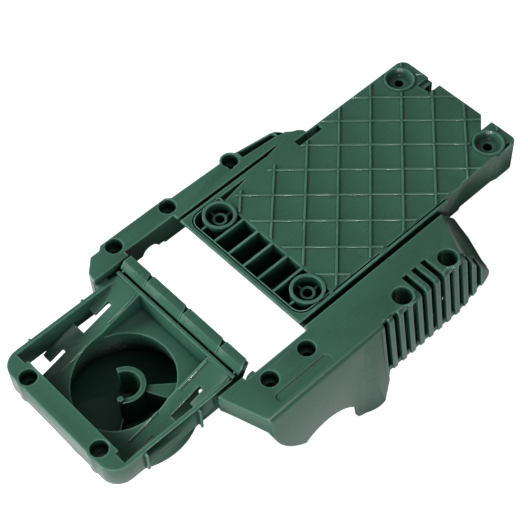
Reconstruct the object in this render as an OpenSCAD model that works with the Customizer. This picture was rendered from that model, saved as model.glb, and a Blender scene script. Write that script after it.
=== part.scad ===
// Lower housing of a hand-held electric planer, one injection moulding, modelled sole side up.
// x runs rearwards, y to the narrow arm, z up; the origin lies in the middle of the four sole screws,
// on their seats. Depths are measured down from the deck, lengths from the drum's axis.

/* [Drum opening] */
// Length of the opening, along the direction of travel
opening_l = 32; // [29:0.5:33]
// Width of the opening, from arm to arm
opening_w = 97.2; // [94:0.5:100]
// Radius left free for the cutter drum
drum_r = 23.5; // [21.5:0.25:24]
// Depth from the deck to the parting plane, in which the drum's axis lies
body_d = 17.5; // [16:0.5:19]
// Radius of the notch for the drum's shaft
shaft_notch_r = 5.4; // [4:0.1:7]

/* [Walls] */
// Thickness of the outer walls
wall_t = 2.4; // [2:0.1:3]
// Thickness of the decks and floors
deck_t = 2.4; // [2:0.1:3]
// Thickness of the inner ribs
rib_t = 1.4; // [1:0.1:1.8]

/* [Middle body] */
// Width of the middle body behind the drum
core_w = 87; // [86:0.5:89]
// Width of the groove beside the narrow arm
groove_narrow_w = 1.9; // [1.2:0.1:2.2]
// Width of the groove beside the wide arm
groove_wide_w = 2.9; // [2:0.1:3.2]
// Depth of the grooves
groove_d = 6; // [4:0.5:8]

/* [Rear plate] */
// Distance from the drum's axis to the rear edge
plate_l = 177.5; // [174:0.5:190]
// Width of the rear plate
plate_w = 82.6; // [81.5:0.1:83.4]
// Radius of the rear plate's corners
plate_r = 4; // [3:0.1:5]
// Pitch of the diamond ribs along the plate
diamond_l = 23.8; // [20:0.2:28]
// Pitch of the diamond ribs across the plate
diamond_w = 23.2; // [20:0.2:28]
// Width of a diamond rib
diamond_rib_w = 1.2; // [0.8:0.1:1.6]
// Height of a diamond rib over the plate
diamond_rib_h = 0.7; // [0.4:0.1:1.2]
// Depth of the plate's side walls
plate_d = 20.5; // [18:0.5:23]
// Width of the thin line round the plate and its pockets
line_w = 0.7; // [0.5:0.1:1]
// Depth of that line
line_d = 1; // [0.6:0.1:1.4]
// Depth of the shallow hollow in the plate's side
side_hollow_d = 0.9; // [0.4:0.1:1.2]
// Length of the slot in the rear edge
rear_slot_l = 6.5; // [5:0.1:8]
// Width of the slot in the rear edge
rear_slot_w = 5; // [4:0.1:6]
// Length of the slanting notch in the rear edge
notch_l = 8.2; // [6:0.1:9]
// Length of the wiring slot at the plate's edge
wire_slot_l = 17; // [12:0.5:22]
// Width of the wiring slot
wire_slot_w = 4; // [3:0.2:5]

/* [Pockets] */
// Distance from the drum's axis to the pockets' front
pocket_x = 20.3; // [19.5:0.1:21]
// Length of the pockets
pocket_l = 19.7; // [18:0.1:21]
// Width over all pockets
pocket_w = 80.6; // [79:0.2:81]
// Distance between the ribs in the pockets
pocket_pitch = 10.7; // [9.5:0.1:11.5]
// Radius of the pockets' front corners
pocket_r = 6; // [4:0.5:8]
// Thickness of the pockets' floor
pocket_floor_t = 1.6; // [1.2:0.1:2.4]

/* [Sole screws] */
// Distance from the drum's axis to the front pair of screws
sole_x = 33; // [31:0.5:34]
// Distance between the front and rear pairs
sole_dx = 132; // [126:0.5:134]
// Distance between the screws of a pair
sole_dy = 64; // [62:0.5:66]
// Radius of the screw holes
sole_hole_r = 2.5; // [2:0.1:3]
// Outer radius of the front boss rings
front_ring_r = 9; // [8:0.1:9.5]
// Thickness of a boss ring
ring_t = 1.8; // [1.4:0.1:2.2]
// Outer radius of the screw tubes
tube_r = 4; // [3.6:0.1:4.8]
// Depth of the screw seats under the ring tops
seat_d = 3; // [2:0.2:4]
// Outer radius of the rear bosses
rear_boss_r = 8.6; // [7.6:0.1:9]
// Height of the rings over the deck
ring_h = 0.8; // [0.4:0.1:1.4]

/* [Narrow arm] */
// Distance from the middle to the outer edge
narrow_out = 58; // [56:0.5:60]
// Height of the pad beside the drum over that edge
narrow_pad = 2.2; // [1.5:0.1:3]
// Distance from the drum's axis to the arm's front
narrow_front = 38.5; // [36:0.5:40]
// Distance from the drum's axis to the arm's tail
narrow_tail = 103; // [98:0.5:108]
// Distance between the middle and the arm's screws
narrow_screw_y = 55; // [54:0.1:56]
// Distance from the drum's axis to the arm's two near screws
narrow_screw_x = 17.8; // [16:0.1:19]
// Distance from the drum's axis to the arm's far screw
narrow_far_x = 61.2; // [58:0.2:64]

/* [Wide arm] */
// Distance from the middle to the deck's outer edge
wide_out = 73.5; // [71:0.5:76]
// Distance from the drum's axis to the deck's front corner
wide_front = 39; // [37:0.5:41]
// Distance from the drum's axis to the deck's rear corner
wide_rear = 113; // [111:0.5:118]
// Lean of the arm's front end across its width
wide_lean = 9; // [6:0.5:11]
// Lean of the arm's rear end across its width
rear_lean = 13.2; // [10:0.2:15]
// Slope of the arm's rear end face, in degrees
rear_slope = 53.5; // [50:0.5:60]
// Radius of the arm's rear corner, seen from above
corner_r = 5; // [4:0.2:6]
// Depth of the front end wall
wide_nose_d = 12; // [10:0.5:15]
// Radius of the rounded edge between deck and skirt
edge_r = 2.6; // [1.6:0.1:4]
// Draft of the smooth part of the skirt, in degrees
skirt_draft = 3; // [1:0.5:5]
// Draft of the vented part of the skirt, in degrees
vent_draft = 7.5; // [4:0.5:10]
// Depth of the vented part of the skirt
skirt_d = 37.3; // [34:0.5:40]
// Radius of the arch in the skirt
arch_r = 24.1; // [22:0.1:25]
// Distance from the drum's axis to the arch's centre
arch_x = 3; // [2:0.5:5]
// Depth of the arch's crown
arch_d = 37.8; // [35:0.5:40]
// Radius of the foot behind the arch
foot_r = 9.3; // [8:0.1:10]
// Depth of the foot behind the arch
foot_d = 61.8; // [59:0.5:65]
// Distance between the middle and the arm's screws
wide_screw_y = 56; // [55:0.1:57]
// Distance between the arm's two screws
wide_screw_dx = 24; // [21:0.5:27]
// Place of their middle, seen from the drum's axis
wide_screw_x = -3; // [-5:0.2:-1]
// Radius of the two long screw wells
well_r = 5.2; // [4.4:0.1:5.8]
// Distance from the drum's axis to the first well
well_x = 63; // [60:0.5:66]
// Distance between the wells
well_dx = 32.5; // [30:0.5:35]
// Distance from the deck's outer edge to the wells' middle
well_in = 6.5; // [6:0.1:7.5]
// Length of the bare recessed field on the deck
field_l = 34.5; // [28:0.5:38]
// Width of the bare recessed field
field_w = 5; // [4:0.2:6]

/* [Vents] */
// Number of vent slots
vent_n = 11; // [8:1:11]
// Pitch of the vent slots
vent_pitch = 6.5; // [6:0.1:7]
// Width of a vent slot
vent_w = 3.3; // [2.4:0.1:3.8]
// Distance from the drum's axis to the first slot
vent_x = 46; // [45:0.5:48]
// Length of the three long slots in the deck
vent_long = 14; // [11:0.5:16]
// Height of the closed rim under the slots
vent_rim_h = 3; // [2:0.2:5]
// Depth of the fluting that runs over that rim
flute_d = 1; // [0.6:0.1:1.4]

/* [Screw cups] */
// Radius of the screw cups in the arms and the front box
cup_r = 4.5; // [3.8:0.1:4.8]
// Depth of the cups
cup_d = 7; // [5:0.5:9]
// Radius of the screw holes in the cups
cup_hole_r = 2.2; // [1.8:0.1:2.6]
// Thickness of the wall round a cup
cup_wall_t = 1.6; // [1.2:0.1:2]

/* [Front box] */
// Distance from the drum's axis to the front
box_front = 100.2; // [98:0.2:104]
// Width of the front box
box_w = 85.6; // [84.6:0.2:87.4]
// Depth of the box's rim under the deck
rim_d = 3.6; // [2.6:0.2:4.6]
// Radius of the front corners
box_r = 10; // [8:0.5:12]
// Width of the front strip
strip_w = 9.1; // [8:0.1:10]
// Distance between the front strip's screws
box_screw_dy = 53.2; // [50:0.2:56]
// Distance from the front edge to these screws
box_screw_in = 5.4; // [5:0.1:6]

/* [Shoe rails] */
// Slope of the rails that the front shoe slides on, in degrees
rail_slope = 16.7; // [14:0.1:18]
// Depth of the rails at their rear end
rail_d = 2.7; // [2:0.1:3.5]
// Thickness of the rails
rail_t = 2; // [1.6:0.1:2.6]
// Width of the recess between the rails
recess_w = 50; // [49:0.5:51]
// Depth of the recess's floor
recess_d = 14.25; // [13:0.25:15.5]
// Width of the wide guide slots
guide_w = 7.8; // [6:0.1:8.4]
// Width of the narrow guide slots
guide_narrow_w = 2.6; // [2:0.1:3.4]
// Length of the wide guide slots
guide_l = 10; // [8:0.5:12]
// Length of the narrow guide slots
guide_narrow_l = 8.6; // [7:0.2:10]
// Distance from the drum's axis to the front guide slots
guide_x = 78; // [76:0.5:79]
// Distance from the drum's axis to the rear guide slots
guide_rear_x = 47.5; // [46:0.5:49]

/* [Adjuster bell] */
// Radius of the bell's mouth
bell_mouth_r = 25.9; // [24.5:0.1:26.5]
// Distance from the drum's axis to the bell's centre
bell_x = 59.6; // [59:0.1:60.4]
// Inner radius at the bell's foot
bell_foot_r = 33; // [31:0.5:35]
// Depth of the bell's foot under the deck
bell_d = 43; // [40:0.5:46]
// Outer radius of the open collar in the bell
collar_r = 10.5; // [9.5:0.1:11.5]
// Thickness of the collar
collar_t = 2.9; // [2.2:0.1:3.4]
// Depth of the collar's top under the deck
collar_d = 20; // [18:0.5:24]

/* [Lip] */
// Height of the lip blocks over the deck
lip_h = 1.8; // [1.2:0.1:2.4]
// Width of the flat on the lip blocks
lip_flat_w = 4.8; // [4:0.1:5.5]
// Width of the lip blocks' sloping side
lip_slope_w = 2.8; // [2.4:0.1:3.6]

/* [Hidden] */
$fn = 48;
green = [0.15, 0.30, 0.24];
eps = 0.01;
big = 400;
// Length by which joined solids run into each other
lap = 0.6;

half_open = opening_l / 2;
half_w = opening_w / 2;
half_core = core_w / 2;
half_plate = plate_w / 2;
half_box = box_w / 2;
half_pocket = pocket_w / 2;
narrow_in = half_core + groove_narrow_w;
wide_in = half_core + groove_wide_w;
// The opening's step towards the wide arm reaches a little further forward
step_x = half_open + 7.5;
lip_x = half_open + lip_flat_w + lip_slope_w;
lip_slot_w = 1.1;
box_rear = lip_x + lip_slot_w + 2;
pocket_end = pocket_x + pocket_l;
skirt_max = foot_d + 4;
strip_end = wide_rear + 9;
// The skirt's lower edge rises from here to the rear corner
rise_x = strip_end - 25;
rise_d = skirt_d - 5.5;
edge_run = 9.3;
well_y = wide_out - well_in;
vent_in = wide_out - vent_long;
// The duct's wall stands just inside the long slots
duct_y = vent_in - 1;
wire_slot_x = narrow_tail - 9;

// Height of the rails' top at a distance in front of the drum's axis
function rail_z(x) = -rail_d - (x - box_rear) * tan(rail_slope);
// Distance at which the rails' top reaches a given depth
function rail_at(d) = box_rear + (d - rail_d) / tan(rail_slope);
// Points of an arc about c, from angle a0 to a1
function arc(c, r, a0, a1, n = 10) =
    [for (i = [0:n]) c + r * [cos(a0 + (a1 - a0) * i / n), sin(a0 + (a1 - a0) * i / n)]];

// Block between two corners
module span(x, y, z) {
    translate([x[0], y[0], z[0]]) cube([x[1] - x[0], y[1] - y[0], z[1] - z[0]]);
}

// Profile in x and z, drawn out along y
module side_profile(points, y0, y1) {
    translate([0, y1, 0]) rotate([90, 0, 0]) linear_extrude(y1 - y0) polygon(points);
}

// Profile in y and z, drawn out along x
module end_profile(points, x0, x1) {
    translate([x0, 0, 0]) rotate([90, 0, 90]) linear_extrude(x1 - x0) polygon(points);
}

// Plan outline, drawn from depth d0 down to depth d1
module plate_of(d0, d1) {
    translate([0, 0, -d1]) linear_extrude(d1 - d0) children();
}

module post(x, y, d0, d1, r) {
    translate([x, y, -d1]) cylinder(r = r, h = d1 - d0);
}

// Screw cup: a cup with a small hole in its seat, let in from the top
module cup_cut(x, y, top_d) {
    post(x, y, top_d - 1, top_d + cup_d, cup_r);
    post(x, y, top_d, body_d + 3, cup_hole_r);
}

// Plan of the narrow arm; s is the wall left outside it
module narrow_plan(s) {
    x_pad = narrow_screw_x + 2.8;
    polygon([
        [-narrow_front + s, narrow_in + s], [-narrow_front + 1 + s, narrow_out - 7 - s / 2],
        [-narrow_front + 8 + s / 2, narrow_out - s], [-x_pad - 4.4, narrow_out - s],
        [-x_pad - 2, narrow_out + narrow_pad - s], [x_pad, narrow_out + narrow_pad - s],
        [x_pad + 2.4, narrow_out - s], [narrow_far_x + 5, narrow_out - 0.8 - s],
        [narrow_tail - 14, narrow_out - 4 - s], [narrow_tail - 11 - s / 2, narrow_out - 5.3 - s],
        [narrow_tail - 6 - s, narrow_in + s], [half_open + s, narrow_in + s],
        [half_open + s, half_w + s], [-half_open - s, half_w + s], [-half_open - s, narrow_in + s]
    ]);
}

module narrow_arm() {
    pocket_y = narrow_out - 6;
    difference() {
        union() {
            difference() {
                plate_of(0, body_d) narrow_plan(0);
                plate_of(deck_t, body_d + 1) narrow_plan(wall_t);
            }
            // Tail that runs into the plate's side
            plate_of(0, body_d) polygon([
                [narrow_tail - 12, half_plate - lap], [narrow_tail - 12, narrow_in + 1],
                [narrow_tail - 8, narrow_out - 8.5], [narrow_tail - 5, narrow_out - 11.2],
                [narrow_tail - 2, narrow_out - 12.6], [narrow_tail, half_plate + 2],
                [narrow_tail + 0.5, half_plate - lap]]);
            // The groove beside the arm runs out to a point
            plate_of(0, body_d) polygon([
                [narrow_tail - 30, half_core - lap], [narrow_tail - 11, half_core - lap],
                [narrow_tail - 11, narrow_in + lap]]);
            drum_end(drum_r + wall_t, narrow_in, half_w + wall_t, deck_t / 2);
            for (x = [-narrow_screw_x, narrow_screw_x])
                intersection() {
                    post(x, narrow_screw_y, 0, body_d, cup_r + cup_wall_t);
                    plate_of(-1, body_d + 1) narrow_plan(0);
                }
            post(narrow_far_x, narrow_screw_y, 0, body_d, cup_r + 1.2);
            // Stops under the deck, between the screws
            for (x = [-narrow_screw_x / 2, narrow_screw_x / 2])
                span([x - rib_t / 2, x + rib_t / 2], [half_w + wall_t / 2, narrow_out],
                     [-body_d + 3, -deck_t / 2]);
            for (x = [narrow_far_x - 25, narrow_far_x - 13])
                span([x - rib_t / 2, x + rib_t / 2], [narrow_in + lap, narrow_out - wall_t / 2],
                     [-body_d + 3, -deck_t / 2]);
        }
        for (x = [-narrow_screw_x, narrow_screw_x, narrow_far_x]) cup_cut(x, narrow_screw_y, 0);
        // Notch for the drum's shaft, with its two small steps
        translate([0, half_w + wall_t + 1, -body_d]) rotate([90, 0, 0])
            cylinder(r = shaft_notch_r, h = wall_t + 2);
        span([-shaft_notch_r - 4, shaft_notch_r + 4], [half_w - 1, half_w + wall_t + 1],
             [-body_d - 1, -body_d + 1.6]);
        // Wall a little behind the deck's edge
        drum_end(drum_r, half_w - 1, half_w + wall_t / 3, deck_t, 1);
        // Pocket behind the far screw, closed outside by a thin wall
        plate_of(-1, body_d - 5) {
            polygon([[narrow_far_x + 6.4, pocket_y], [narrow_far_x + 6.4, narrow_out - 1.9],
                     [narrow_tail - 14, narrow_out - 4.9], [narrow_tail - 13.2, narrow_out - 7.8]]);
            polygon([[narrow_tail - 12, narrow_out - 8.1], [narrow_tail - 12.2, narrow_out - 6],
                     [narrow_tail - 11.2, narrow_out - 6.3], [narrow_tail - 8, narrow_out - 9.4]]);
        }
        // Spout in the rim of the far cup
        post(narrow_far_x - 2.6, narrow_screw_y - 3.4, -1, cup_d / 2, cup_r / 3);
    }
}

// Plan of the wide arm with its sloping ends; s is the wall left outside it
module wide_plan(s) {
    lean = wide_lean / (wide_out - wide_in);
    far = wide_out + 12;
    corner = [strip_end - 2.6 - corner_r, -wide_out - 0.9];
    polygon(concat([
        [-wide_front + s, -wide_in - s], [-wide_front + s + lean * (far - wide_in), -far],
        [corner[0] - 2 * corner_r, -far]], arc(corner, corner_r - s, 270, 360, 8), [
        [strip_end + 6 - s, -duct_y], [strip_end + 6 - s, -wide_in - s],
        [half_open + s, -wide_in - s], [half_open + s, -half_w - s], [-step_x - s, -half_w - s],
        [-step_x - s, -wide_in - s]
    ]));
}

// Section of the wide arm: deck, rounded edge and drafted skirt; s is the wall left outside it
function wide_section(draft, s) = let (r = edge_r - min(s, edge_r - 0.4)) concat(
    [[-wide_in + lap, -s]],
    arc([-wide_out + s + r, -s - r], r, 90, 180, 6),
    [[-wide_out + s - skirt_max * tan(draft), -skirt_max], [-wide_in + lap, -skirt_max]]);

// The arm as a full body: smooth in front, then blending into the vented part
module wide_body(s) {
    x0 = vent_x - 16;
    x1 = vent_x - 4;
    intersection() {
        plate_of(s, skirt_max - 1) wide_plan(s);
        union() {
            end_profile(wide_section(skirt_draft, s), -wide_front - 1, x0);
            hull() {
                end_profile(wide_section(skirt_draft, s), x0, x0 + eps);
                end_profile(wide_section(vent_draft, s), x1 - eps, x1);
            }
            end_profile(wide_section(vent_draft, s), x1, strip_end + 2);
        }
    }
}

// Sloping face at the wide arm's rear end
module end_slope(s) {
    lean = atan(rear_lean / (wide_out - wide_in));
    translate([wide_rear, -wide_in, 0]) rotate([0, 0, -lean]) rotate([0, rear_slope, 0])
        translate([-skirt_d, -skirt_max, -s]) cube([3 * skirt_d, 2 * skirt_max, skirt_max]);
}

// Side view of the skirt's lower edge, with the arch, the foot behind it and the rounded tail
function skirt_points() =
    let (a = [arch_x, -arch_d - arch_r], f = [arch_x + 28.5, -foot_d + foot_r],
         b = [-wide_front + 51, -6.2]) concat(
        [[-wide_front - 2, 1], [-wide_front - 2, -wide_nose_d]],
        arc(b, 42.6, 188, 237, 8),
        arc(a, arch_r, 126, 30, 14),
        arc(f, foot_r, 222, 352, 10),
        [[vent_x, -skirt_d], [rise_x, -skirt_d]],
        arc([strip_end - 11.2, -rise_d + edge_run], edge_run, 292, 360, 6),
        [[strip_end + 6, -body_d], [strip_end + 6, 1]]);

// Height of the vented part's lower edge
function skirt_z(x) = -skirt_d + max(0, x - rise_x) * (skirt_d - rise_d) / (strip_end - 5 - rise_x);

module wide_arm() {
    difference() {
        union() {
            difference() {
                wide_body(0);
                end_slope(0);
                difference() {
                    wide_body(wall_t);
                    end_slope(wall_t);
                }
            }
            for (i = [0, 1]) {
                post(well_x + i * well_dx, -well_y, 0, skirt_d - 2, well_r + cup_wall_t);
                post(wide_screw_x + (i - 0.5) * wide_screw_dx, -wide_screw_y, 0, body_d,
                     cup_r + cup_wall_t);
            }
            vent_duct();
            drum_end(drum_r + wall_t, -half_w - wall_t, -wide_in, deck_t / 2);
            // Ribs across the hollow arm
            for (x = [half_open - 4, half_open + 12])
                span([x - rib_t / 2, x + rib_t / 2], [-wide_out + wall_t / 2, -half_w - lap],
                     [-body_d + 2, -deck_t / 2]);
        }
        // Lower edges: the skirt outside, the parting plane inside
        difference() {
            span([-wide_front - 3, strip_end + 6], [-wide_out - 20, -duct_y + rib_t],
                 [-skirt_max - 1, 0.5]);
            side_profile(skirt_points(), -wide_out - 21, -duct_y + rib_t + 1);
        }
        side_profile([[-wide_front - 3, -wide_nose_d], [-30, -wide_nose_d], [-24, -body_d],
                      [rise_x + 9, -body_d], [rise_x + 9, -skirt_max - 2],
                      [-wide_front - 3, -skirt_max - 2]], -duct_y + rib_t - eps, -wide_in + 1);
        // Lower edge of the rear end, slanting down from the parting plane to the skirt
        end_profile([[-half_core, -body_d], [-duct_y, -rise_d], [-wide_out - 20, -rise_d - 0.5],
                     [-wide_out - 20, -skirt_max - 2], [-half_core, -skirt_max - 2]],
                    strip_end - 5, strip_end + 6);
        side_profile([[rise_x + 9 - eps, -body_d], [strip_end - 5 + eps, -rise_d],
                      [strip_end - 5 + eps, -skirt_max - 2], [rise_x + 9 - eps, -skirt_max - 2]],
                     -duct_y + rib_t - eps, -wide_in + 1);
        for (i = [0, 1]) {
            post(well_x + i * well_dx, -well_y, -1, skirt_d - 4, well_r);
            post(well_x + i * well_dx, -well_y, 0, skirt_d + 1, cup_hole_r);
            cup_cut(wide_screw_x + (i - 0.5) * wide_screw_dx, -wide_screw_y, 0);
        }
        vents();
        // Bare recessed field
        plate_of(-1, 0.5) translate([-3.2, -wide_out + 6.7]) {
            square([field_l - field_w, field_w], center = true);
            for (s = [-1, 1]) translate([s * (field_l - field_w) / 2, 0]) circle(d = field_w);
        }
    }
}

// Air duct behind the vents: an upright wall and a floor inside the arm
module vent_duct() {
    x = [vent_x - 5, vent_x + (vent_n - 1) * vent_pitch + 4];
    floor_z = [for (x1 = [x[0], rise_x, x[1]]) [x1, skirt_z(x1) + 1]];
    intersection() {
        union() {
            side_profile(concat(floor_z, [[x[1], -deck_t / 2], [x[0], -deck_t / 2]]),
                         -duct_y, -duct_y + rib_t);
            side_profile(concat(floor_z, [for (i = [2:-1:0]) floor_z[i] + [0, rib_t]]),
                         -wide_out - 10, -duct_y + rib_t);
            for (x1 = x)
                span([x1 - rib_t, x1], [-wide_out - 10, -duct_y + rib_t], [-skirt_d + 1, -deck_t / 2]);
        }
        difference() {
            wide_body(wall_t / 2);
            end_slope(wall_t / 2);
        }
    }
}

// Vent slots through the skirt; the first two and three middle ones reach into the deck
module vents() {
    for (i = [0:vent_n - 1]) {
        x = vent_x + i * vent_pitch;
        inner = i < 2 ? wide_out - 2.5 : i >= 4 && i <= 6 ? vent_in : wide_out - 0.6;
        // Slot in the skirt, under a short bridge
        span([x - vent_w / 2, x + vent_w / 2], [-wide_out - 12, -wide_out + wall_t + 1],
             [skirt_z(x) + vent_rim_h, -edge_r - 0.5]);
        span([x - vent_w / 2, x + vent_w / 2], [-wide_out - 12, -inner], [-edge_r - 1, 1]);
        // Fluting down to the lower edge
        end_flute(x);
    }
}

module end_flute(x) {
    lean = tan(vent_draft);
    end_profile([[-wide_out - 14, 0], [-wide_out + flute_d, 0],
                 [-wide_out + flute_d - skirt_max * lean, -skirt_max], [-wide_out - 14, -skirt_max]],
                x - vent_w / 2, x + vent_w / 2);
}

// Rear plate outline with its rounded corners; s is the wall left outside it
module plate_plan(s) {
    polygon(concat(
        [[half_open + s, -half_plate + s]],
        arc([plate_l - plate_r, -half_plate + plate_r], plate_r - s, 270, 360, 6),
        arc([plate_l - 1.3 * plate_r, half_plate - 1.3 * plate_r], 1.3 * plate_r - s, 0, 90, 6),
        [[half_open + s, half_plate - s]]));
}

// Diamond ribs: two families of straight ribs, trimmed to the plate
module diamond_ribs() {
    slope = atan(diamond_w / diamond_l);
    n = ceil((plate_l + plate_w) / diamond_l) + 1;
    margin = 0.7;
    bare_w = wire_slot_w + 1.2;
    intersection() {
        translate([0, 0, -eps]) linear_extrude(diamond_rib_h + eps) difference() {
            plate_plan(margin);
            translate([0, -half_plate]) square([pocket_end + 2 * margin, plate_w]);
            // Bare strip beside the narrow arm, as far as the wiring slot goes
            translate([0, half_plate - bare_w]) square([wire_slot_x + wire_slot_l, bare_w + margin]);
            for (x = [sole_x, sole_x + sole_dx], s = [-1, 1])
                translate([x, s * sole_dy / 2]) circle(r = front_ring_r + 0.4);
        }
        union() {
            for (i = [-4:n], s = [-1, 1])
                translate([pocket_end + 9.2 + (i + 0.5) * diamond_l, -1, 0]) rotate([0, 0, s * slope])
                    translate([-big / 2, -diamond_rib_w / 2, -1]) cube([big, diamond_rib_w, 3]);
        }
    }
}

// Pocket outline with rounded front corners; g widens it
module pocket_plan(g) {
    r = pocket_r + g;
    x0 = pocket_x - g;
    y = half_pocket + g;
    translate([x0 + r, -y]) square([pocket_end + g - x0 - r, 2 * y]);
    translate([x0, -y + r]) square([r + 1, 2 * (y - r)]);
    for (s = [-1, 1]) translate([x0 + r, s * (y - r)]) circle(r = r);
}

// Body behind the drum: plate, side walls, pockets and their ribs
module rear_body() {
    difference() {
        union() {
            difference() {
                plate_of(0, plate_d) plate_plan(0);
                plate_of(deck_t, plate_d + 1) plate_plan(wall_t);
                span([0, pocket_end + 8], [-half_core, half_core], [-plate_d - 1, -body_d]);
            }
            // Strips beside the plate
            span([half_open, strip_end], [-half_core, -half_plate + lap], [-body_d, 0]);
            span([half_open, narrow_tail - 8], [half_plate - lap, half_core], [-body_d, 0]);
            plate_of(0, body_d) pocket_plan(rib_t);
            drum_wall(1);
            for (y = [-1, 1]) post(sole_x + sole_dx, y * sole_dy / 2, -ring_h, plate_d, rear_boss_r);
            // Ribs under the plate
            for (x = [pocket_end + 36 : 32 : plate_l - 32])
                span([x - rib_t / 2, x + rib_t / 2], [-half_plate + 1, half_plate - 1],
                     [-body_d + 8, -deck_t / 2]);
            diamond_ribs();
        }
        difference() {
            plate_of(-1, body_d - pocket_floor_t) pocket_plan(0);
            pocket_ribs();
            drum_wall(1);
        }
        edge_lines();
        plate_cuts();
        for (y = [-1, 1]) {
            rear_boss_cut(sole_x + sole_dx, y * sole_dy / 2);
            post(sole_x, y * sole_dy / 2, -1, body_d + 1, front_ring_r - ring_t / 2);
        }
    }
    for (y = [-1, 1]) front_boss(sole_x, y * sole_dy / 2);
}

module pocket_ribs() {
    // Straight ribs between the bosses
    for (i = [-2:2]) {
        y = i * pocket_pitch + 0.4;
        span([pocket_x - 1, pocket_end + 1], [y - rib_t / 2, y + rib_t / 2], [-body_d - 1, 0]);
    }
    // Short ribs from the rings to the pockets' rim
    for (s = [-1, 1])
        span([pocket_x - 1, sole_x - front_ring_r + 1],
             [s * sole_dy / 2 - rib_t / 2, s * sole_dy / 2 + rib_t / 2], [-body_d - 1, -0.6]);
    for (s = [-1, 1])
        span([sole_x - rib_t / 2, sole_x + rib_t / 2], [s * (sole_dy / 2 + front_ring_r - 1) - 1,
             s * (sole_dy / 2 + front_ring_r - 1) + 1], [-body_d - 1, -4]);
    for (s = [-1, 1]) post(sole_x, s * sole_dy / 2, -1, body_d + 1, front_ring_r);
}

// Ring with a screw tube standing lower inside it, tied by two small ribs
module front_boss(x, y) {
    floor_d = 9;
    difference() {
        post(x, y, -ring_h, body_d, front_ring_r);
        difference() {
            post(x, y, -ring_h - 1, floor_d, front_ring_r - ring_t);
            post(x, y, seat_d, floor_d + 1, tube_r);
            for (a = [0, 90]) translate([x, y, -floor_d - 1]) rotate([0, 0, a])
                translate([0, -rib_t / 2, 0]) cube([front_ring_r, rib_t, floor_d - seat_d]);
        }
        difference() {
            post(x, y, floor_d + 2, body_d + 1, front_ring_r - ring_t);
            post(x, y, floor_d, body_d + 2, tube_r);
        }
        post(x, y, -ring_h - 1, body_d + 2, sole_hole_r);
    }
}

// Dished seat of a rear boss
module rear_boss_cut(x, y) {
    translate([x, y, -seat_d])
        cylinder(r1 = rear_boss_r - 3, r2 = rear_boss_r - 1.2, h = seat_d + ring_h + eps);
    post(x, y, 0, plate_d + 1, sole_hole_r);
}

// Thin lines let in round the plate and the pockets
module edge_lines() {
    y0 = -half_plate;
    for (x = [[pocket_end + 1, well_x + 10.5], [well_x + 16, strip_end]])
        span(x, [y0 - line_w, y0], [-line_d, 1]);
    // Its last piece, beside the rear boss
    span([sole_x + sole_dx - 6.4, sole_x + sole_dx - 1], [y0 - eps, y0 + line_w], [-line_d, 1]);
    difference() {
        plate_of(-1, line_d) pocket_plan(rib_t / 2 + line_w);
        plate_of(-2, line_d + 1) pocket_plan(rib_t / 2);
        span([pocket_end - 1, pocket_end + 20], [-half_core, half_core], [-3, 3]);
    }
    // Slim wedge beside the narrow arm
    plate_of(-1, 3) polygon([[pocket_end + 1, half_plate - 0.8], [pocket_end + 1, half_plate - 4.2],
                             [pocket_end + 20, half_plate - 0.8]]);
}

// Slots and notches in the rear plate
module plate_cuts() {
    y1 = half_plate - line_w;
    span([wire_slot_x, wire_slot_x + wire_slot_l], [y1 - wire_slot_w, y1], [-body_d / 2, 1]);
    // Slot in the rear edge, half let in and half cut through
    y0 = half_plate - 27.3;
    rim = 2;
    span([plate_l - rear_slot_l - rim, plate_l + 1], [y0, y0 + rear_slot_w + 1.5 * rim], [-ring_t, 1]);
    span([plate_l - rear_slot_l, plate_l + 1], [y0, y0 + rear_slot_w], [-plate_d - 1, 1]);
    // Slanting notch in the rear edge
    y2 = -half_plate + 18;
    plate_of(-1, plate_d + 1) polygon([[plate_l + 1, y2 + notch_l], [plate_l - notch_l, y2],
                                       [plate_l + 1, y2]]);
    side_hollow();
    corner_pocket();
}

// Shallow hollow in the plate's side, between the wide arm and the rear boss
module side_hollow() {
    x = [strip_end + 1.4 * rear_boss_r, plate_l - 1.6 * rear_boss_r];
    y = -half_plate;
    plate_of(-1, plate_d + 1) polygon([
        [x[0], y - 1], [x[0], y], [x[0] + 2 * side_hollow_d, y + side_hollow_d],
        [x[1] - 4 * side_hollow_d, y + side_hollow_d], [x[1], y], [x[1], y - 1]]);
}

// Small pocket in the rear corner, between the boss and the plate's side
module corner_pocket() {
    x = sole_x + sole_dx;
    y = -half_plate + line_w;
    plate_of(-1, line_d) difference() {
        polygon([[x, y], [plate_l - 3, y + 0.2], [plate_l - 6, y + 1.6], [x, y + 3]]);
        translate([x, -sole_dy / 2]) circle(r = rear_boss_r + 0.3);
    }
}

// Curved wall round the drum, on the side given by dir
module drum_wall(dir) {
    intersection() {
        translate([0, half_core, -body_d]) rotate([90, 0, 0])
            cylinder(r = drum_r + wall_t, h = core_w, $fn = 96);
        span([dir > 0 ? 0 : -drum_r - wall_t, dir > 0 ? drum_r + wall_t : 0], [-half_core, half_core],
             [-body_d, -eps]);
    }
}

// End of the drum's space inside an arm: half a disc between two distances from the middle, which
// reaches from top_d under the deck down to the parting plane, or by low further
module drum_end(r, y0, y1, top_d, low = 0) {
    translate([0, y1, -body_d]) rotate([90, 0, 0]) intersection() {
        cylinder(r = r, h = y1 - y0, $fn = 96);
        translate([-r, -low, 0]) cube([2 * r, body_d - top_d + low, y1 - y0]);
    }
}

// Space swept free for the drum
module drum_space() {
    translate([0, half_w, -body_d]) rotate([90, 0, 0]) cylinder(r = drum_r, h = opening_w, $fn = 96);
    span([-half_open, half_open], [-half_w, half_w], [-body_d - 1, 5]);
}

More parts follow.
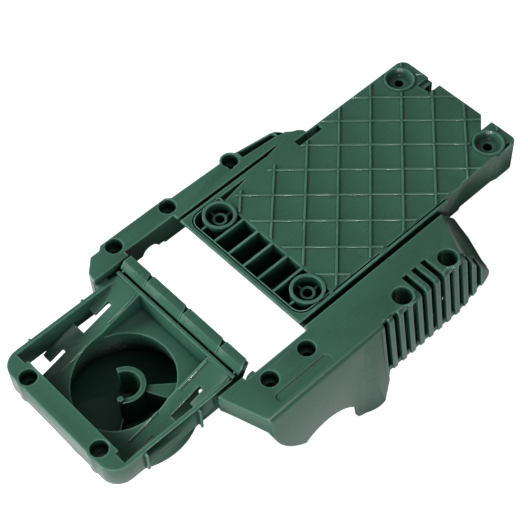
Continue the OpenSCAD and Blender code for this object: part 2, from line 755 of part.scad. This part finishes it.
// Front box outline with rounded front corners; s is the wall left outside it
module box_plan(s) {
    r = box_r - s;
    y = half_box - s;
    x0 = -box_front + s;
    translate([x0 + r, -y]) square([box_front - r - s - lip_x + lap, 2 * y]);
    translate([x0, -y + r]) square([r + 1, 2 * (y - r)]);
    for (s1 = [-1, 1]) translate([x0 + r, s1 * (y - r)]) circle(r = r);
}

// Everything over the rails and the recess, which is open space
module rail_space() {
    side_profile([[-box_rear + 0.2, rail_z(box_rear)], [-box_front, rail_z(box_front)],
                  [-box_front, 10], [-box_rear + 0.2, 10]], -half_box + wall_t, half_box - wall_t);
    span([-rail_at(recess_d), -box_rear], [-recess_w / 2, recess_w / 2], [-recess_d, 10]);
}

module front_box() {
    x1 = box_front - strip_w;
    x_web = x1 - rail_t;
    difference() {
        union() {
            // Rim wall
            difference() {
                plate_of(rim_d, body_d) box_plan(0);
                plate_of(rim_d - 1, body_d + 1) box_plan(wall_t);
            }
            // Front strip and its bosses
            intersection() {
                plate_of(rim_d, rim_d + deck_t) box_plan(0);
                span([-box_front, -x1], [-half_box, half_box], [-body_d, 0]);
            }
            for (s = [-1, 1])
                post(-box_front + box_screw_in, s * box_screw_dy / 2, rim_d, body_d, cup_r + cup_wall_t);
            // Web behind the strip, down to the rails
            span([-x1, -x_web], [-half_box + wall_t / 2 + guide_w, half_box - wall_t / 2 - guide_w],
                 [rail_z(x1) - rail_t, -rim_d]);
            // Rails
            side_profile([[-lip_x, rail_z(lip_x)], [-x1, rail_z(x1)], [-x1, rail_z(x1) - rail_t],
                          [-lip_x, rail_z(lip_x) - rail_t]], -half_box + wall_t / 2, half_box - wall_t / 2);
            // Box round the recess
            span([-rail_at(recess_d) - 4, -lip_x], [-recess_w / 2 - rail_t, recess_w / 2 + rail_t],
                 [-recess_d - rail_t, rail_z(box_rear) - 1]);
            for (s = [-1, 1])
                span([-rail_at(recess_d), -lip_x], [s * (recess_w + rail_t) / 2 - rail_t / 2,
                     s * (recess_w + rail_t) / 2 + rail_t / 2], [-body_d - 4, -recess_d]);
            // Rim across the rear of the rails
            span([-box_rear, -box_rear + 2], [-half_box, half_box], [-body_d, -rail_d + 0.8]);
            bell_shell();
            for (s = [-1, 1], x = [guide_x + 3.2, guide_rear_x + 1]) rim_rib(x, s);
        }
        difference() {
            intersection() {
                rail_space();
                span([-x_web, 0], [-half_box, half_box], [-big, big]);
            }
            span([-box_rear, -box_rear + 2], [-half_box, half_box], [-body_d, -rail_d + 0.8]);
        }
        // Slot between lip and rim
        span([-lip_x - lip_slot_w, -lip_x + 1], [-half_box + wall_t, half_box - wall_t], [-rail_d - 4, 5]);
        bell_space();
        // Nothing hangs below the rim outside the rails
        for (s = [-1, 1]) mirror([0, s > 0 ? 0 : 1, 0]) {
            span([-x1 - 1, -lip_x], [half_box - wall_t, half_box + 1], [-bell_d, -body_d]);
            span([-x1 - 1, -guide_x - 1], [half_box - wall_t - guide_w, half_box + 1], [-bell_d, -body_d]);
        }
        for (s = [-1, 1]) {
            guide_slots(s);
            cup_cut(-box_front + box_screw_in, s * box_screw_dy / 2, rim_d);
        }
    }
    rail_ribs();
    bell_inside();
}

// Small upright rib outside the rim
module rim_rib(x, side) {
    out = side > 0 ? 1.3 : 1.8;
    span([-x - 0.7, -x + 0.7], [side > 0 ? half_box - lap : -half_box - out,
         side > 0 ? half_box + out : -half_box + lap],
         [-body_d - (side > 0 || x > bell_x ? 0 : 1.5), -rim_d - 0.6]);
}

// Stepped slots in one rail, for the shoe's hooks
module guide_slots(side) {
    y1 = half_box - wall_t;
    for (x = [guide_x, guide_rear_x]) {
        wide = x == guide_x ? box_front - strip_w - rail_t - x : guide_l;
        y0 = y1 - guide_w;
        mirror([0, side > 0 ? 0 : 1, 0]) {
            span([-x - wide, -x], [y0, y1], [-body_d - 12, 0]);
            span([-x - eps, -x + guide_narrow_l], [y0, y0 + guide_narrow_w], [-body_d - 12, 0]);
        }
    }
}

// Fine ribs along the rails that the shoe rests on
module rail_ribs() {
    h = 0.6;
    w = 0.9;
    for (s = [-1, 1], p = [[box_rear + 1.9, guide_rear_x - 0.8], [guide_rear_x + 13.3, guide_x + 0.7]])
        side_profile([[-p[0], rail_z(p[0]) + h], [-p[0], rail_z(p[0]) - lap],
                      [-p[1], rail_z(p[1]) - lap], [-p[1], rail_z(p[1]) + h]],
                     s * (recess_w / 2 + rail_t - h) - w / 2, s * (recess_w / 2 + rail_t - h) + w / 2);
}

// Profile of the bell's wall from mouth to foot; s moves it outwards
function bell_points(s) = let (z1 = -bell_d + 2.2)
    [for (i = [0:8]) let (u = i / 8)
        [bell_mouth_r + s + (bell_foot_r - bell_mouth_r) * pow(u, 1.6), -recess_d + (z1 + recess_d) * u]];

module bell_shell() {
    translate([-bell_x, 0, 0]) rotate_extrude($fn = 96) polygon(concat(
        [[0, -recess_d]], bell_points(rail_t), [[bell_foot_r + rail_t, -bell_d], [0, -bell_d]]));
}

module bell_space() {
    translate([-bell_x, 0, 0]) rotate_extrude($fn = 96) polygon(concat(
        [[0, 1], [bell_mouth_r, 1]], bell_points(0), [[0, -bell_d + 2.2]]));
}

// Wedge seen from above, between two angles
module sector(a0, a1) {
    n = 6;
    polygon(concat([[0, 0]], arc([0, 0], bell_foot_r + 20, a0, a1, n)));
}

// Open collar, its end pin and the flat web beside it
module bell_inside() {
    z0 = -bell_d + 1;
    translate([-bell_x, 0, z0]) {
        linear_extrude(-z0 - collar_d) difference() {
            circle(r = collar_r);
            circle(r = collar_r - collar_t);
            sector(75, 148);
            sector(147, 221);
        }
        rotate([0, 0, 217]) {
            translate([collar_r - collar_t / 2, 0, 0]) cylinder(r = 1.6, h = -z0 - collar_d + 1.5);
            translate([collar_r - 1, -rib_t / 2, 0]) cube([bell_mouth_r - collar_r + 3, rib_t, cup_d + 1]);
        }
        // Web between the collar and the bell's wall
        linear_extrude(-z0 - collar_d - 1.5) intersection() {
            difference() {
                circle(r = bell_mouth_r + 1.5);
                circle(r = collar_r - 1);
            }
            sector(-62, -40);
        }
    }
}

// Blocks of the chip lip along the front of the opening
module lip() {
    rear = -half_open;
    // Blocks from the narrow arm to the wide one, parted by cuts that widen on the drum's side
    cuts = [for (i = [1:-1:-1]) i * 0.305 * core_w - 0.6];
    gap = 0.3;
    y1 = half_core - 0.1;
    ends = [[y1, cuts[0]], [cuts[0] - gap, cuts[1]], [cuts[1] - gap, cuts[2]], [cuts[2] - gap, -y1]];
    vee_w = 2.7;
    difference() {
        union() {
            intersection() {
                side_profile([[rear, lip_h], [rear - lip_flat_w, lip_h], [-lip_x, -1.6],
                              [-lip_x, -body_d / 2], [rear, -body_d / 2]], -half_core, half_core);
                plate_of(-big / 2, big / 2) for (e = ends)
                    polygon([[rear + 1, e[0]], [-lip_x - 1, e[0]], [-lip_x - 1, e[1]],
                             [rear - lip_flat_w + 0.4, e[1]], [rear + 1, e[1] + vee_w]]);
            }
            side_profile([[rear - 3.4, -1.2], [-lip_x, -1.6], [-lip_x, -body_d], [rear - 3.4, -body_d]],
                         -y1, y1);
            // Floor of the slot between lip and rim
            span([-box_rear, -lip_x + lap], [-half_box + 1, half_box - 1], [-body_d, -rail_d - 4]);
            for (y = [20, -1, -23])
                span([-box_rear + 1, -lip_x + 1], [y - lip_slot_w / 2, y + lip_slot_w / 2],
                     [-rail_d - 5, -deck_t]);
            drum_wall(-1);
        }
        // Slanted corner towards the wide arm
        plate_of(-4, body_d + 1) polygon([[rear + 1, -half_core + 1], [rear + 1, -half_core - 1],
                                          [-lip_x - 1, -half_core - 1]]);
    }
}

// Floors of the grooves that tie the arms to the middle body
module groove_floors() {
    z = [-groove_d - deck_t, -groove_d];
    block_l = 3 * wall_t;
    span([half_open, narrow_tail - 2 * wall_t], [half_core - lap, narrow_in + lap], z);
    span([half_open, strip_end - 2 * wall_t], [-wide_in - lap, -half_core + lap], z);
    span([-narrow_front + lap, -half_open], [half_box - lap, narrow_in + lap], [-body_d, -groove_d]);
    span([-wide_front + lap, -step_x], [-wide_in - lap, -half_box + lap],
         [-body_d + 2 * deck_t, -groove_d]);
    // Block that joins the rim and the narrow arm in front
    span([-narrow_front, -narrow_front + block_l], [half_box - wall_t, narrow_in + lap], [-body_d, -rim_d]);
}

module base_moulding() {
    color(green) translate([-(sole_x + sole_dx / 2), 0, seat_d]) {
        difference() {
            union() {
                narrow_arm();
                wide_arm();
                rear_body();
                front_box();
                lip();
                groove_floors();
            }
            drum_space();
        }
    }
}

base_moulding();
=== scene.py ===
"""Lower housing of a hand-held planer, sole side up: moulded edges, plastic finish, studio and camera."""

import math

import bmesh
import bpy
from mathutils import Matrix, Vector
from mathutils.kdtree import KDTree


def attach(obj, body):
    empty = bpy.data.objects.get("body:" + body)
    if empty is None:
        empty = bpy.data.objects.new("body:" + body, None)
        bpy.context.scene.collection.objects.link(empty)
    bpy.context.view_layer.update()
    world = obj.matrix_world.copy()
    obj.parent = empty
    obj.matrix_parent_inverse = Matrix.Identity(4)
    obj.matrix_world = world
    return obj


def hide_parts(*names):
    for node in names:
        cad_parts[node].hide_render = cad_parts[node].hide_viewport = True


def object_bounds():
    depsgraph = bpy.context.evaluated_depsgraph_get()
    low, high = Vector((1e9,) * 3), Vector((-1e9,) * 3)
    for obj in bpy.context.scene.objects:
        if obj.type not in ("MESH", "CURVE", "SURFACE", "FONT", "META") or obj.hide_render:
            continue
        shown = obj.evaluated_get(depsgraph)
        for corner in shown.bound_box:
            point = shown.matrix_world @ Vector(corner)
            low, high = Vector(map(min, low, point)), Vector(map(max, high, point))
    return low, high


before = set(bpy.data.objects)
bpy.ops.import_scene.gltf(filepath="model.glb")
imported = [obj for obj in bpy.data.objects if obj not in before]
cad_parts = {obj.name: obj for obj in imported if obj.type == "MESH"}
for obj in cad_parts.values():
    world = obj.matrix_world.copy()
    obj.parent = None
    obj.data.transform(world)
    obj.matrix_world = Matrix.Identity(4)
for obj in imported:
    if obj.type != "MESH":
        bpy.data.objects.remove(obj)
CAD_BOX = [list(corner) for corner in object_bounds()]

bl_info = {
    "name": "Planer base",
    "version": (1, 0, 0),
    "blender": (4, 5, 0),
    "location": "View3D > Sidebar > Planer",
    "description": "Lower housing of a hand-held planer with its moulded finish, and a plain studio",
    "category": "Object",
}

# All lengths are in metres, but for the width of the camera's sensor

# Camera of the photograph: its place, and its right and up directions
CAMERA_PLACE = Vector((-0.33402, -0.31515, 0.56807))
CAMERA_RIGHT = Vector((0.72806, -0.68461, -0.03530))
CAMERA_UP = Vector((0.57166, 0.57791, 0.58244))
CLIP_START = 0.01
SENSOR_WIDTH_MM = 36.0

# Points of the CAD mesh that are closer than this become one
WELD_GAP = 2e-6
RADIUS_SEGMENTS = 3
# The vented part of the wide arm lies behind this length and outside this width
VENTS_FROM_X = -0.012
VENTS_BELOW_Y = -0.05
# A web has no room for the radius when it is narrower than this many radii
WEB_ROOM = 3.2
# Room of an edge whose faces only fill corners: more than any web has
AMPLE_ROOM = 1.0

# Noises of the plastic: fineness beside the size that is set for them, and their character
CLOUD_NOISE = {"fineness": 1.0, "detail": 4.0, "roughness": 0.55}
FLOW_NOISE = {"fineness": 2.2, "detail": 6.0, "roughness": 0.6, "distortion": 1.4}
GRAIN_NOISE = {"fineness": 0.6, "detail": 2.0}
SCUFF_NOISE = {"fineness": 0.9, "detail": 2.0, "roughness": 0.4}
SCUFF_SIZE = 0.001
# Flow lines and scuffs are drawn out by the inverse of these, and the scuffs lie at an angle
FLOW_SQUEEZE = 0.25
SCUFF_SQUEEZE = 0.12
SCUFF_TURN = 0.6

# How far the plastic looks round for edges, crevices and pockets, and with how many samples; edges get a
# painted highlight, crevices and pockets painted shade
EDGE_SIGHT = (0.0013, 8)
CREVICE_SIGHT = (0.0022, 8)
POCKET_SIGHT = (0.03, 12)

# Values between which each mask goes from 0 to 1
CLOUD_SPAN = (0.7, 1.3)
EDGE_SPAN = (0.93, 0.5)
EDGE_BREAK_SPAN = (0.1, 0.6)
SCUFF_SPAN = (0.76, 0.86)
POCKET_SPAN = (0.15, 0.88)
CREVICE_SPAN = (0.5, 0.96)
SPECULAR_SPAN = (-0.1, 2.7)
COAT_SPAN = (0.2, 1.5)

# The clouds' lighter plastic, and how much of it shows
LIGHTER_BY = 1.28
CLOUD_AMOUNT = 0.3
# Part of the roughness that follows clouds and flow lines
ROUGHNESS_SPREAD = 0.16
# Height of the flow lines beside the grain, and of the whole relief
FLOW_RELIEF = 0.08
RELIEF_HEIGHT = 0.00012
PLASTIC_IOR = 1.5

# The floor lies this far under the part
FLOOR_GAP = 0.0005
# Half length and half width of the part's shade on the floor, and where it fades, in halves
SHADE_HALVES = (0.17, 0.075)
SHADE_SPAN = (0.75, 1.1)
# Share of the floor's colour that lights the part, of its glow that mirrors in it, and the glow itself
FLOOR_BOUNCE = 0.7
FLOOR_MIRROR = 0.4
FLOOR_GLOW = 0.88

WHITE = (1.0, 1.0, 1.0)
COOL = (0.8, 0.97, 1.0)
MIDDLE = (0.0, 0.0, 0.0)
# Lamps: name, place, target, side, colour, and the rays that miss it. Their powers are in the settings.
LAMPS = (
    ("key", (-0.75, 0.9, 0.55), MIDDLE, 0.5, WHITE, "visible_glossy"),
    ("sheen", (-0.75, 0.9, 0.55), MIDDLE, 1.0, WHITE, None),
    ("fill", (0.15, -0.35, 1.3), MIDDLE, 1.0, WHITE, None),
    ("front", (-0.85, -0.4, 0.22), (-0.12, 0.0, 0.0), 0.3, COOL, None),
    ("side", (-0.45, -0.6, 0.12), (-0.06, 0.0, 0.0), 0.3, WHITE, None),
    ("spark", CAMERA_PLACE + 0.12 * CAMERA_UP, MIDDLE, 0.14, WHITE, "visible_diffuse"),
)


class MouldingSettings(bpy.types.PropertyGroup):
    """Edges and finish of the moulding."""
    edge_radius: bpy.props.FloatProperty(
        name="Edge radius", description="Radius left by the mould on outer edges",
        default=0.0003, min=0.0, max=0.001, unit='LENGTH')
    edge_angle: bpy.props.FloatProperty(
        name="Edge angle", description="Smallest angle at which an edge counts as one",
        default=math.radians(38), subtype='ANGLE')
    web_reach: bpy.props.FloatProperty(
        name="Web reach", description="Distance from a thin web within which edges stay sharp",
        default=0.0008, min=0.0, unit='LENGTH')
    crease_angle: bpy.props.FloatProperty(
        name="Crease angle", description="Angle from which two faces are shaded apart",
        default=math.radians(24), subtype='ANGLE')
    colour: bpy.props.FloatVectorProperty(
        name="Plastic", description="Colour of the moulding", subtype='COLOR',
        size=3, default=(0.034, 0.108, 0.074))
    # Painted shade: deep pockets and crevices are darkened towards this colour, in place of the shade that
    # falls there
    colour_shaded: bpy.props.FloatVectorProperty(
        name="Cavities", description="Colour in deep pockets, where the plastic stays dull and dusty",
        subtype='COLOR', size=3, default=(0.007, 0.028, 0.023))
    # Painted highlight on the outer edges, lighter than the plastic; the same colour also marks the real
    # scuffs
    colour_highlight_and_scuff: bpy.props.FloatVectorProperty(
        name="Rubbed plastic", description="Colour of rubbed edges and scuffs", subtype='COLOR',
        size=3, default=(0.2, 0.42, 0.33))
    # How much painted highlight the outer edges get
    edge_highlight: bpy.props.FloatProperty(
        name="Edge wear", description="How much the rubbed colour covers the edges",
        default=0.6, min=0.0, max=1.0)
    scuff_amount: bpy.props.FloatProperty(
        name="Scuffs", description="How much the rubbed colour covers the scuffs",
        default=0.05, min=0.0, max=1.0)
    roughness: bpy.props.FloatProperty(
        name="Roughness", description="Mean roughness of the satin surface", default=0.29, min=0.1, max=0.9)
    coat_roughness: bpy.props.FloatProperty(
        name="Glint roughness", description="Roughness of the thin clear skin that gives the glints",
        default=0.1, min=0.0, max=1.0)
    grain: bpy.props.FloatProperty(
        name="Grain", description="Size of the mould's grain", default=0.0005, min=0.0001, unit='LENGTH')
    relief: bpy.props.FloatProperty(
        name="Relief", description="Strength of the relief of grain and flow lines",
        default=0.14, min=0.0, max=1.0)
    mottle: bpy.props.FloatProperty(
        name="Mottle", description="Size of the faint clouds in the colour",
        default=0.03, min=0.001, unit='LENGTH')


class StageSettings(bpy.types.PropertyGroup):
    """Floor, light and camera."""
    floor_size: bpy.props.FloatProperty(
        name="Floor", description="Side of the square floor", default=6.0, unit='LENGTH')
    floor_colour: bpy.props.FloatVectorProperty(
        name="Floor colour", description="Colour of the floor", subtype='COLOR', size=3,
        default=(0.5, 0.5, 0.5))
    floor_shade: bpy.props.FloatVectorProperty(
        name="Shaded floor", description="Colour of the floor under the part", subtype='COLOR', size=3,
        default=(0.05, 0.05, 0.05))
    key_power: bpy.props.FloatProperty(
        name="Key light", description="Power of the main lamp, which gives no reflection",
        default=18.0, unit='POWER')
    sheen_power: bpy.props.FloatProperty(
        name="Sheen", description="Power of the broad lamp around the key light, for the satin sheen",
        default=4.0, unit='POWER')
    fill_power: bpy.props.FloatProperty(
        name="Fill light", description="Power of the lamp above", default=2.6, unit='POWER')
    front_power: bpy.props.FloatProperty(
        name="Front light", description="Power of the small cool lamp before the front strip",
        default=2.0, unit='POWER')
    side_power: bpy.props.FloatProperty(
        name="Side light", description="Power of the low lamp beside the wide arm",
        default=1.8, unit='POWER')
    spark_power: bpy.props.FloatProperty(
        name="Spark", description="Power of the small lamp above the camera, which only gives glints",
        default=4.0, unit='POWER')
    sky: bpy.props.FloatProperty(
        name="Sky", description="Strength of the even light all round", default=0.15, min=0.0)
    lens: bpy.props.FloatProperty(
        name="Lens", description="Focal length of the camera", default=95.93, unit='CAMERA')


class Tree:
    """Short way of adding nodes to a material or world."""

    def __init__(self, owner):
        owner.use_nodes = True
        self.nodes = owner.node_tree.nodes
        self.links = owner.node_tree.links
        self.nodes.clear()

    def add(self, kind, inputs=(), **settings):
        node = self.nodes.new(kind)
        for name, value in settings.items():
            setattr(node, name, value)
        for socket, value in dict(inputs).items():
            if isinstance(value, bpy.types.NodeSocket):
                self.links.new(value, node.inputs[socket])
            else:
                node.inputs[socket].default_value = value
        return node

    def math(self, operation, first, second=0.5):
        return self.add("ShaderNodeMath", {0: first, 1: second}, operation=operation).outputs[0]

    def ramp(self, value, low, high):
        """Value stretched from low..high to 0..1."""
        return self.add("ShaderNodeMapRange", {"Value": value, "From Min": low, "From Max": high},
                        clamp=True).outputs[0]

    def mix(self, factor, first, second):
        """Colour between first and second; the node has its colours at sockets 6 and 7."""
        return self.add("ShaderNodeMix", {0: factor, 6: first, 7: second}, data_type='RGBA').outputs[2]

    def noise(self, place, size, fineness, detail, roughness=0.5, distortion=0.0):
        return self.add("ShaderNodeTexNoise", {
            "Vector": place, "Scale": fineness / size, "Detail": detail,
            "Roughness": roughness, "Distortion": distortion}).outputs["Fac"]

    def drawn_out(self, place, squeeze, turn=0.0):
        """Place squeezed lengthwise and turned, so that a noise on it runs out into lines."""
        return self.add("ShaderNodeMapping", {
            "Vector": place, "Rotation": (0.0, 0.0, turn), "Scale": (squeeze, 1.0, 1.0)}).outputs[0]

    def openness(self, distance, samples, inside=False):
        """How little stands round a point within the distance, outside or inside the solid."""
        return self.add("ShaderNodeAmbientOcclusion", {"Distance": distance},
                        samples=samples, inside=inside).outputs["AO"]


def opaque(colour):
    return (*colour, 1.0)


def plastic_material(settings):
    """Satin green plastic: faint clouds, flow lines, mould grain and scuffs; painted shade and duller
    reflection in pockets and crevices, and painted highlights on outer edges.
    """
    material = bpy.data.materials.new("green_plastic")
    tree = Tree(material)
    place = tree.add("ShaderNodeTexCoord").outputs["Object"]
    clouds = tree.noise(place, settings.mottle, **CLOUD_NOISE)
    flow = tree.noise(tree.drawn_out(place, FLOW_SQUEEZE), settings.mottle, **FLOW_NOISE)
    grain = tree.noise(place, settings.grain, **GRAIN_NOISE)
    # Clouds and flow lines lighten and darken the plastic a little
    uneven = tree.math('ADD', clouds, flow)
    shade = tree.math('MULTIPLY', tree.ramp(uneven, *CLOUD_SPAN), CLOUD_AMOUNT)
    lighter = [min(1.0, channel * LIGHTER_BY) for channel in settings.colour]
    plastic = tree.mix(shade, opaque(settings.colour), opaque(lighter))
    # Painted highlight on outer edges, found by how little plastic lies behind a point, broken up by the
    # flow lines
    behind = tree.openness(*EDGE_SIGHT, inside=True)
    edge = tree.math('MULTIPLY', tree.ramp(behind, *EDGE_SPAN), tree.ramp(flow, *EDGE_BREAK_SPAN))
    lightened = tree.mix(tree.math('MULTIPLY', edge, settings.edge_highlight), plastic, opaque(settings.colour_highlight_and_scuff))
    # Scuffs: sparse, thin and short
    scratches = tree.noise(tree.drawn_out(place, SCUFF_SQUEEZE, SCUFF_TURN), SCUFF_SIZE, **SCUFF_NOISE)
    scuffs = tree.math('MULTIPLY', tree.ramp(scratches, *SCUFF_SPAN), settings.scuff_amount)
    lightened = tree.mix(scuffs, lightened, opaque(settings.colour_highlight_and_scuff))
    # Painted shade in deep pockets, and in crevices along ribs, rings and grooves
    out_of_pocket_shade = tree.ramp(tree.openness(*POCKET_SIGHT), *POCKET_SPAN)
    out_of_crevice_shade = tree.ramp(tree.openness(*CREVICE_SIGHT), *CREVICE_SPAN)
    unshaded = tree.math('MULTIPLY', out_of_pocket_shade, out_of_crevice_shade)
    colour = tree.mix(unshaded, opaque(settings.colour_shaded), lightened)
    roughness = tree.math('ADD', tree.math('MULTIPLY', uneven, ROUGHNESS_SPREAD),
                          settings.roughness - ROUGHNESS_SPREAD)
    height = tree.math('ADD', grain, tree.math('MULTIPLY', flow, FLOW_RELIEF))
    bump = tree.add("ShaderNodeBump", {
        "Height": height, "Strength": settings.relief, "Distance": RELIEF_HEIGHT})
    # Where shade is painted, pockets and crevices also reflect less; the clear skin is thickest on the edges
    # with painted highlights
    shader = tree.add("ShaderNodeBsdfPrincipled", {
        "Base Color": colour, "Roughness": roughness, "Normal": bump.outputs[0], "IOR": PLASTIC_IOR,
        "Specular IOR Level": tree.ramp(unshaded, *SPECULAR_SPAN),
        "Coat Weight": tree.math('MAXIMUM', tree.ramp(unshaded, *COAT_SPAN), edge),
        "Coat Roughness": settings.coat_roughness})
    tree.add("ShaderNodeOutputMaterial", {"Surface": shader.outputs[0]})
    return material


def wear(obj, material):
    obj.data.materials.clear()
    obj.data.materials.append(material)


def middle(edge):
    return (edge.verts[0].co + edge.verts[1].co) / 2


def room_beside(edge, sharp):
    """Least height of the two faces over their edge. A face with more sharp edges only fills a corner."""
    rooms = [AMPLE_ROOM]
    for face in edge.link_faces:
        if not any(side in sharp for side in face.edges if side != edge):
            rooms.append(2 * face.calc_area() / edge.calc_length())
    return min(rooms)


def weigh_edges(shell, settings):
    """Mark the edges that get the radius: all, but for those beside the thin webs of wells and vents."""
    weights = shell.edges.layers.float.new("bevel_weight_edge")
    sharp = {edge for edge in shell.edges
             if len(edge.link_faces) == 2 and edge.calc_face_angle() > settings.edge_angle}
    for edge in sharp:
        edge[weights] = 1.0
    vented = [edge for edge in sharp if middle(edge).x > VENTS_FROM_X and middle(edge).y < VENTS_BELOW_Y]
    thin = [edge for edge in vented if room_beside(edge, sharp) < WEB_ROOM * settings.edge_radius]
    webs = KDTree(len(thin))
    for number, edge in enumerate(thin):
        webs.insert(middle(edge), number)
    webs.balance()
    for edge in vented:
        if webs.find_range(middle(edge), settings.web_reach):
            edge[weights] = 0.0


class PLANER_OT_moulding(bpy.types.Operator):
    """Give the one-piece moulding its radiused edges and its satin plastic"""
    bl_idname = "planer.moulding"
    bl_label = "Moulding"

    def execute(self, context):
        settings = context.scene.planer_moulding
        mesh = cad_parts["base_moulding"].data.copy()
        shell = bmesh.new()
        shell.from_mesh(mesh)
        bmesh.ops.remove_doubles(shell, verts=shell.verts, dist=WELD_GAP)
        for face in shell.faces:
            face.smooth = True
        weigh_edges(shell, settings)
        shell.to_mesh(mesh)
        shell.free()
        piece = bpy.data.objects.new("housing_moulding", mesh)
        context.scene.collection.objects.link(piece)
        bevel = piece.modifiers.new("edges", 'BEVEL')
        bevel.width = settings.edge_radius
        bevel.segments = RADIUS_SEGMENTS
        bevel.limit_method = 'WEIGHT'
        bevel.use_clamp_overlap = False
        bevel.loop_slide = False
        # The radiused shape is kept as the mesh, so that its flats can be shaded flat
        rounded = bpy.data.meshes.new_from_object(piece.evaluated_get(context.evaluated_depsgraph_get()))
        piece.modifiers.clear()
        piece.data = rounded
        rounded.name = "housing_moulding"
        rounded.set_sharp_from_angle(angle=settings.crease_angle)
        wear(piece, plastic_material(settings))
        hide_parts("base_moulding")
        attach(piece, "root")
        return {'FINISHED'}


class PLANER_OT_stage(bpy.types.Operator):
    """Set up the white floor, the soft light and the photograph's camera"""
    bl_idname = "planer.stage"
    bl_label = "Stage"

    def execute(self, context):
        settings = context.scene.planer_stage
        self.floor(context, settings)
        self.sky(context, settings)
        self.camera(context, settings)
        for name, place, target, side, colour, missing in LAMPS:
            light = self.lamp(context, name, place, target, side, colour, getattr(settings, name + "_power"))
            if missing:
                setattr(light, missing, False)
        return {'FINISHED'}

    def floor(self, context, settings):
        mesh = bpy.data.meshes.new("floor")
        sheet = bmesh.new()
        bmesh.ops.create_grid(sheet, x_segments=1, y_segments=1, size=settings.floor_size / 2)
        bmesh.ops.translate(sheet, verts=sheet.verts, vec=(0, 0, CAD_BOX[0][2] - FLOOR_GAP))
        sheet.to_mesh(mesh)
        sheet.free()
        floor = bpy.data.objects.new("floor", mesh)
        context.scene.collection.objects.link(floor)
        material = bpy.data.materials.new("white_floor")
        tree = Tree(material)
        seen = tree.add("ShaderNodeLightPath").outputs
        # Under the part the floor lies in its shade, and throws less light back at it
        place = tree.add("ShaderNodeSeparateXYZ", {0: tree.add("ShaderNodeTexCoord").outputs["Object"]})
        along, across = (tree.math('DIVIDE', tree.math('ABSOLUTE', place.outputs[axis]), half)
                         for axis, half in enumerate(SHADE_HALVES))
        lit = tree.ramp(tree.math('MAXIMUM', along, across), *SHADE_SPAN)
        mirrored = tree.math('MULTIPLY', seen["Is Glossy Ray"], tree.math('MULTIPLY', lit, FLOOR_MIRROR))
        glow = tree.math('MAXIMUM', seen["Is Camera Ray"], mirrored)
        bounced = tree.math('MAXIMUM', tree.math('MULTIPLY', lit, FLOOR_BOUNCE), seen["Is Camera Ray"])
        colour = tree.mix(bounced, opaque(settings.floor_shade), opaque(settings.floor_colour))
        paint = tree.add("ShaderNodeBsdfDiffuse", {"Color": colour})
        shine = tree.add("ShaderNodeEmission", {"Strength": tree.math('MULTIPLY', glow, FLOOR_GLOW)})
        both = tree.add("ShaderNodeAddShader", {0: paint.outputs[0], 1: shine.outputs[0]})
        tree.add("ShaderNodeOutputMaterial", {"Surface": both.outputs[0]})
        wear(floor, material)

    def sky(self, context, settings):
        world = bpy.data.worlds.new("sky")
        tree = Tree(world)
        seen = tree.add("ShaderNodeLightPath").outputs["Is Camera Ray"]
        lit, plain = (tree.add("ShaderNodeBackground", {"Color": opaque(WHITE), "Strength": strength})
                      for strength in (settings.sky, 1.0))
        both = tree.add("ShaderNodeMixShader", {0: seen, 1: lit.outputs[0], 2: plain.outputs[0]})
        tree.add("ShaderNodeOutputWorld", {"Surface": both.outputs[0]})
        context.scene.world = world

    def camera(self, context, settings):
        data = bpy.data.cameras.new("camera")
        data.sensor_width = SENSOR_WIDTH_MM
        data.lens = settings.lens
        data.clip_start = CLIP_START
        camera = bpy.data.objects.new("camera", data)
        right = CAMERA_RIGHT.normalized()
        back = right.cross(CAMERA_UP).normalized()
        up = back.cross(right)
        turn = Matrix((right, up, back)).transposed().to_4x4()
        camera.matrix_world = Matrix.Translation(CAMERA_PLACE) @ turn
        context.scene.collection.objects.link(camera)
        context.scene.camera = camera
        context.scene.view_settings.view_transform = 'Standard'

    def lamp(self, context, name, place, target, side, colour, power):
        """Soft square lamp that faces its target."""
        data = bpy.data.lights.new(name, 'AREA')
        data.energy = power
        data.size = side
        data.color = colour
        light = bpy.data.objects.new(name, data)
        light.location = place
        light.rotation_euler = (Vector(target) - Vector(place)).to_track_quat('-Z', 'Y').to_euler()
        context.scene.collection.objects.link(light)
        return light


class PLANER_PT_panel(bpy.types.Panel):
    """Steps and sizes of the planer base"""
    bl_idname = "PLANER_PT_panel"
    bl_label = "Planer base"
    bl_space_type = 'VIEW_3D'
    bl_region_type = 'UI'
    bl_category = "Planer"

    def draw(self, context):
        for settings, kind in ((context.scene.planer_moulding, MouldingSettings),
                               (context.scene.planer_stage, StageSettings)):
            for name in kind.__annotations__:
                self.layout.prop(settings, name)
        for step in STEPS:
            self.layout.operator(step.bl_idname)


STEPS = (PLANER_OT_moulding, PLANER_OT_stage)
CLASSES = (MouldingSettings, StageSettings, *STEPS, PLANER_PT_panel)


def register():
    for kind in CLASSES:
        bpy.utils.register_class(kind)
    bpy.types.Scene.planer_moulding = bpy.props.PointerProperty(type=MouldingSettings)
    bpy.types.Scene.planer_stage = bpy.props.PointerProperty(type=StageSettings)


def unregister():
    del bpy.types.Scene.planer_stage
    del bpy.types.Scene.planer_moulding
    for kind in reversed(CLASSES):
        bpy.utils.unregister_class(kind)


def main():
    register()
    bpy.ops.planer.moulding()
    bpy.ops.planer.stage()


if __name__ == "__main__":
    main()
